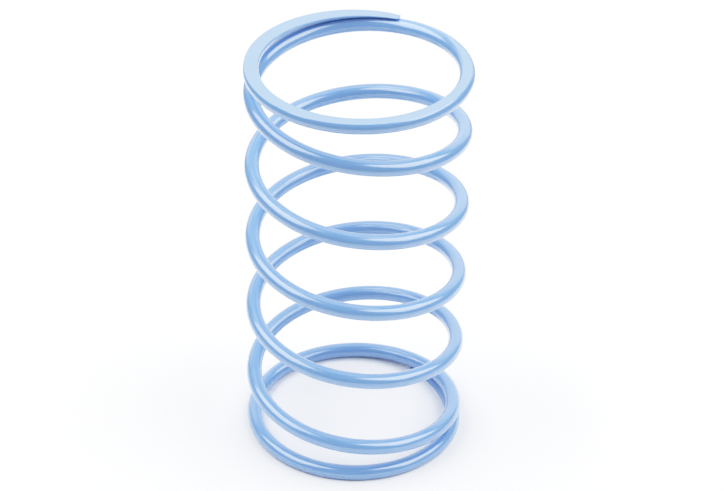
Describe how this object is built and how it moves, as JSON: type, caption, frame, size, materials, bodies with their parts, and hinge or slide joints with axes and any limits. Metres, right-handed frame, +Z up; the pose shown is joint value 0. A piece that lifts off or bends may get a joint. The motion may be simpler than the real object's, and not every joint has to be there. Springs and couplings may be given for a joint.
{
  "type": "coil spring",
  "caption": "Left-hand helical compression spring in light blue painted steel, with closed, flat-ground ends, for a light vehicle's suspension.",
  "frame": {"origin": "on the coil's axis at the bottom seat", "axes": "+Z up the coil's axis; the top tip lies 68 degrees anticlockwise from +X, seen from above"},
  "size_m": [0.145, 0.145, 0.275],
  "materials": {
    "blue_paint": "gloss powder coat"
  },
  "bodies": {
    "bottom_end_coil": {"bottom_end_coil": "blue_paint"},
    "coil_1_eighth_1": {"coil_1_eighth_1": "blue_paint"},
    "coil_1_eighth_2": {"coil_1_eighth_2": "blue_paint"},
    "coil_1_eighth_3": {"coil_1_eighth_3": "blue_paint"},
    "coil_1_eighth_4": {"coil_1_eighth_4": "blue_paint"},
    "coil_1_eighth_5": {"coil_1_eighth_5": "blue_paint"},
    "coil_1_eighth_6": {"coil_1_eighth_6": "blue_paint"},
    "coil_1_eighth_7": {"coil_1_eighth_7": "blue_paint"},
    "coil_1_eighth_8": {"coil_1_eighth_8": "blue_paint"},
    "coil_2_eighth_1": {"coil_2_eighth_1": "blue_paint"},
    "coil_2_eighth_2": {"coil_2_eighth_2": "blue_paint"},
    "coil_2_eighth_3": {"coil_2_eighth_3": "blue_paint"},
    "coil_2_eighth_4": {"coil_2_eighth_4": "blue_paint"},
    "coil_2_eighth_5": {"coil_2_eighth_5": "blue_paint"},
    "coil_2_eighth_6": {"coil_2_eighth_6": "blue_paint"},
    "coil_2_eighth_7": {"coil_2_eighth_7": "blue_paint"},
    "coil_2_eighth_8": {"coil_2_eighth_8": "blue_paint"},
    "coil_3_eighth_1": {"coil_3_eighth_1": "blue_paint"},
    "coil_3_eighth_2": {"coil_3_eighth_2": "blue_paint"},
    "coil_3_eighth_3": {"coil_3_eighth_3": "blue_paint"},
    "coil_3_eighth_4": {"coil_3_eighth_4": "blue_paint"},
    "coil_3_eighth_5": {"coil_3_eighth_5": "blue_paint"},
    "coil_3_eighth_6": {"coil_3_eighth_6": "blue_paint"},
    "coil_3_eighth_7": {"coil_3_eighth_7": "blue_paint"},
    "coil_3_eighth_8": {"coil_3_eighth_8": "blue_paint"},
    "coil_4_eighth_1": {"coil_4_eighth_1": "blue_paint"},
    "coil_4_eighth_2": {"coil_4_eighth_2": "blue_paint"},
    "coil_4_eighth_3": {"coil_4_eighth_3": "blue_paint"},
    "coil_4_eighth_4": {"coil_4_eighth_4": "blue_paint"},
    "coil_4_eighth_5": {"coil_4_eighth_5": "blue_paint"},
    "coil_4_eighth_6": {"coil_4_eighth_6": "blue_paint"},
    "coil_4_eighth_7": {"coil_4_eighth_7": "blue_paint"},
    "coil_4_eighth_8": {"coil_4_eighth_8": "blue_paint"},
    "coil_5_eighth_1": {"coil_5_eighth_1": "blue_paint"},
    "coil_5_eighth_2": {"coil_5_eighth_2": "blue_paint"},
    "coil_5_eighth_3": {"coil_5_eighth_3": "blue_paint"},
    "coil_5_eighth_4": {"coil_5_eighth_4": "blue_paint"},
    "coil_5_eighth_5": {"coil_5_eighth_5": "blue_paint"},
    "coil_5_eighth_6": {"coil_5_eighth_6": "blue_paint"},
    "top_end_coil": {"top_end_coil": "blue_paint"}
  },
  "joints": [
    {"name": "compression", "type": "slide", "parent": "bottom_end_coil", "child": "top_end_coil", "axis": [0, 0, -1], "range_m": [0, 0.16], "stiffness_N_per_m": 8090},
    {"name": "coil_1_eighth_1_sink", "type": "slide", "parent": "bottom_end_coil", "child": "coil_1_eighth_1", "axis": [0, 0, -1], "range_m": [0, 0.000605]},
    {"name": "coil_1_eighth_2_sink", "type": "slide", "parent": "bottom_end_coil", "child": "coil_1_eighth_2", "axis": [0, 0, -1], "range_m": [0, 0.00306]},
    {"name": "coil_1_eighth_3_sink", "type": "slide", "parent": "bottom_end_coil", "child": "coil_1_eighth_3", "axis": [0, 0, -1], "range_m": [0, 0.00678]},
    {"name": "coil_1_eighth_4_sink", "type": "slide", "parent": "bottom_end_coil", "child": "coil_1_eighth_4", "axis": [0, 0, -1], "range_m": [0, 0.01128]},
    {"name": "coil_1_eighth_5_sink", "type": "slide", "parent": "bottom_end_coil", "child": "coil_1_eighth_5", "axis": [0, 0, -1], "range_m": [0, 0.01619]},
    {"name": "coil_1_eighth_6_sink", "type": "slide", "parent": "bottom_end_coil", "child": "coil_1_eighth_6", "axis": [0, 0, -1], "range_m": [0, 0.02125]},
    {"name": "coil_1_eighth_7_sink", "type": "slide", "parent": "bottom_end_coil", "child": "coil_1_eighth_7", "axis": [0, 0, -1], "range_m": [0, 0.02629]},
    {"name": "coil_1_eighth_8_sink", "type": "slide", "parent": "bottom_end_coil", "child": "coil_1_eighth_8", "axis": [0, 0, -1], "range_m": [0, 0.03123]},
    {"name": "coil_2_eighth_1_sink", "type": "slide", "parent": "bottom_end_coil", "child": "coil_2_eighth_1", "axis": [0, 0, -1], "range_m": [0, 0.036]},
    {"name": "coil_2_eighth_2_sink", "type": "slide", "parent": "bottom_end_coil", "child": "coil_2_eighth_2", "axis": [0, 0, -1], "range_m": [0, 0.04061]},
    {"name": "coil_2_eighth_3_sink", "type": "slide", "parent": "bottom_end_coil", "child": "coil_2_eighth_3", "axis": [0, 0, -1], "range_m": [0, 0.04507]},
    {"name": "coil_2_eighth_4_sink", "type": "slide", "parent": "bottom_end_coil", "child": "coil_2_eighth_4", "axis": [0, 0, -1], "range_m": [0, 0.04939]},
    {"name": "coil_2_eighth_5_sink", "type": "slide", "parent": "bottom_end_coil", "child": "coil_2_eighth_5", "axis": [0, 0, -1], "range_m": [0, 0.05361]},
    {"name": "coil_2_eighth_6_sink", "type": "slide", "parent": "bottom_end_coil", "child": "coil_2_eighth_6", "axis": [0, 0, -1], "range_m": [0, 0.05776]},
    {"name": "coil_2_eighth_7_sink", "type": "slide", "parent": "bottom_end_coil", "child": "coil_2_eighth_7", "axis": [0, 0, -1], "range_m": [0, 0.06185]},
    {"name": "coil_2_eighth_8_sink", "type": "slide", "parent": "bottom_end_coil", "child": "coil_2_eighth_8", "axis": [0, 0, -1], "range_m": [0, 0.06591]},
    {"name": "coil_3_eighth_1_sink", "type": "slide", "parent": "bottom_end_coil", "child": "coil_3_eighth_1", "axis": [0, 0, -1], "range_m": [0, 0.06994]},
    {"name": "coil_3_eighth_2_sink", "type": "slide", "parent": "bottom_end_coil", "child": "coil_3_eighth_2", "axis": [0, 0, -1], "range_m": [0, 0.07397]},
    {"name": "coil_3_eighth_3_sink", "type": "slide", "parent": "bottom_end_coil", "child": "coil_3_eighth_3", "axis": [0, 0, -1], "range_m": [0, 0.07798]},
    {"name": "coil_3_eighth_4_sink", "type": "slide", "parent": "bottom_end_coil", "child": "coil_3_eighth_4", "axis": [0, 0, -1], "range_m": [0, 0.08199]},
    {"name": "coil_3_eighth_5_sink", "type": "slide", "parent": "bottom_end_coil", "child": "coil_3_eighth_5", "axis": [0, 0, -1], "range_m": [0, 0.08601]},
    {"name": "coil_3_eighth_6_sink", "type": "slide", "parent": "bottom_end_coil", "child": "coil_3_eighth_6", "axis": [0, 0, -1], "range_m": [0, 0.09002]},
    {"name": "coil_3_eighth_7_sink", "type": "slide", "parent": "bottom_end_coil", "child": "coil_3_eighth_7", "axis": [0, 0, -1], "range_m": [0, 0.09406]},
    {"name": "coil_3_eighth_8_sink", "type": "slide", "parent": "bottom_end_coil", "child": "coil_3_eighth_8", "axis": [0, 0, -1], "range_m": [0, 0.09811]},
    {"name": "coil_4_eighth_1_sink", "type": "slide", "parent": "bottom_end_coil", "child": "coil_4_eighth_1", "axis": [0, 0, -1], "range_m": [0, 0.10221]},
    {"name": "coil_4_eighth_2_sink", "type": "slide", "parent": "bottom_end_coil", "child": "coil_4_eighth_2", "axis": [0, 0, -1], "range_m": [0, 0.10636]},
    {"name": "coil_4_eighth_3_sink", "type": "slide", "parent": "bottom_end_coil", "child": "coil_4_eighth_3", "axis": [0, 0, -1], "range_m": [0, 0.11061]},
    {"name": "coil_4_eighth_4_sink", "type": "slide", "parent": "bottom_end_coil", "child": "coil_4_eighth_4", "axis": [0, 0, -1], "range_m": [0, 0.11497]},
    {"name": "coil_4_eighth_5_sink", "type": "slide", "parent": "bottom_end_coil", "child": "coil_4_eighth_5", "axis": [0, 0, -1], "range_m": [0, 0.11949]},
    {"name": "coil_4_eighth_6_sink", "type": "slide", "parent": "bottom_end_coil", "child": "coil_4_eighth_6", "axis": [0, 0, -1], "range_m": [0, 0.12419]},
    {"name": "coil_4_eighth_7_sink", "type": "slide", "parent": "bottom_end_coil", "child": "coil_4_eighth_7", "axis": [0, 0, -1], "range_m": [0, 0.12908]},
    {"name": "coil_4_eighth_8_sink", "type": "slide", "parent": "bottom_end_coil", "child": "coil_4_eighth_8", "axis": [0, 0, -1], "range_m": [0, 0.13415]},
    {"name": "coil_5_eighth_1_sink", "type": "slide", "parent": "bottom_end_coil", "child": "coil_5_eighth_1", "axis": [0, 0, -1], "range_m": [0, 0.13936]},
    {"name": "coil_5_eighth_2_sink", "type": "slide", "parent": "bottom_end_coil", "child": "coil_5_eighth_2", "axis": [0, 0, -1], "range_m": [0, 0.14458]},
    {"name": "coil_5_eighth_3_sink", "type": "slide", "parent": "bottom_end_coil", "child": "coil_5_eighth_3", "axis": [0, 0, -1], "range_m": [0, 0.14963]},
    {"name": "coil_5_eighth_4_sink", "type": "slide", "parent": "bottom_end_coil", "child": "coil_5_eighth_4", "axis": [0, 0, -1], "range_m": [0, 0.15419]},
    {"name": "coil_5_eighth_5_sink", "type": "slide", "parent": "bottom_end_coil", "child": "coil_5_eighth_5", "axis": [0, 0, -1], "range_m": [0, 0.15783]},
    {"name": "coil_5_eighth_6_sink", "type": "slide", "parent": "bottom_end_coil", "child": "coil_5_eighth_6", "axis": [0, 0, -1], "range_m": [0, 0.16]}
  ],
  "couplings": [
    {"joint": "coil_1_eighth_1_sink", "follows": "compression", "ratio": 0.00377},
    {"joint": "coil_1_eighth_2_sink", "follows": "compression", "ratio": 0.01912},
    {"joint": "coil_1_eighth_3_sink", "follows": "compression", "ratio": 0.04236},
    {"joint": "coil_1_eighth_4_sink", "follows": "compression", "ratio": 0.07047},
    {"joint": "coil_1_eighth_5_sink", "follows": "compression", "ratio": 0.10115},
    {"joint": "coil_1_eighth_6_sink", "follows": "compression", "ratio": 0.13279},
    {"joint": "coil_1_eighth_7_sink", "follows": "compression", "ratio": 0.16433},
    {"joint": "coil_1_eighth_8_sink", "follows": "compression", "ratio": 0.19516},
    {"joint": "coil_2_eighth_1_sink", "follows": "compression", "ratio": 0.22501},
    {"joint": "coil_2_eighth_2_sink", "follows": "compression", "ratio": 0.25382},
    {"joint": "coil_2_eighth_3_sink", "follows": "compression", "ratio": 0.28166},
    {"joint": "coil_2_eighth_4_sink", "follows": "compression", "ratio": 0.30869},
    {"joint": "coil_2_eighth_5_sink", "follows": "compression", "ratio": 0.33508},
    {"joint": "coil_2_eighth_6_sink", "follows": "compression", "ratio": 0.36099},
    {"joint": "coil_2_eighth_7_sink", "follows": "compression", "ratio": 0.38656},
    {"joint": "coil_2_eighth_8_sink", "follows": "compression", "ratio": 0.41191},
    {"joint": "coil_3_eighth_1_sink", "follows": "compression", "ratio": 0.43713},
    {"joint": "coil_3_eighth_2_sink", "follows": "compression", "ratio": 0.46227},
    {"joint": "coil_3_eighth_3_sink", "follows": "compression", "ratio": 0.48737},
    {"joint": "coil_3_eighth_4_sink", "follows": "compression", "ratio": 0.51245},
    {"joint": "coil_3_eighth_5_sink", "follows": "compression", "ratio": 0.53753},
    {"joint": "coil_3_eighth_6_sink", "follows": "compression", "ratio": 0.56265},
    {"joint": "coil_3_eighth_7_sink", "follows": "compression", "ratio": 0.58785},
    {"joint": "coil_3_eighth_8_sink", "follows": "compression", "ratio": 0.61319},
    {"joint": "coil_4_eighth_1_sink", "follows": "compression", "ratio": 0.63878},
    {"joint": "coil_4_eighth_2_sink", "follows": "compression", "ratio": 0.66476},
    {"joint": "coil_4_eighth_3_sink", "follows": "compression", "ratio": 0.69129},
    {"joint": "coil_4_eighth_4_sink", "follows": "compression", "ratio": 0.71857},
    {"joint": "coil_4_eighth_5_sink", "follows": "compression", "ratio": 0.7468},
    {"joint": "coil_4_eighth_6_sink", "follows": "compression", "ratio": 0.77616},
    {"joint": "coil_4_eighth_7_sink", "follows": "compression", "ratio": 0.80673},
    {"joint": "coil_4_eighth_8_sink", "follows": "compression", "ratio": 0.83845},
    {"joint": "coil_5_eighth_1_sink", "follows": "compression", "ratio": 0.87099},
    {"joint": "coil_5_eighth_2_sink", "follows": "compression", "ratio": 0.90364},
    {"joint": "coil_5_eighth_3_sink", "follows": "compression", "ratio": 0.93516},
    {"joint": "coil_5_eighth_4_sink", "follows": "compression", "ratio": 0.96365},
    {"joint": "coil_5_eighth_5_sink", "follows": "compression", "ratio": 0.98644},
    {"joint": "coil_5_eighth_6_sink", "follows": "compression", "ratio": 1}
  ]
}
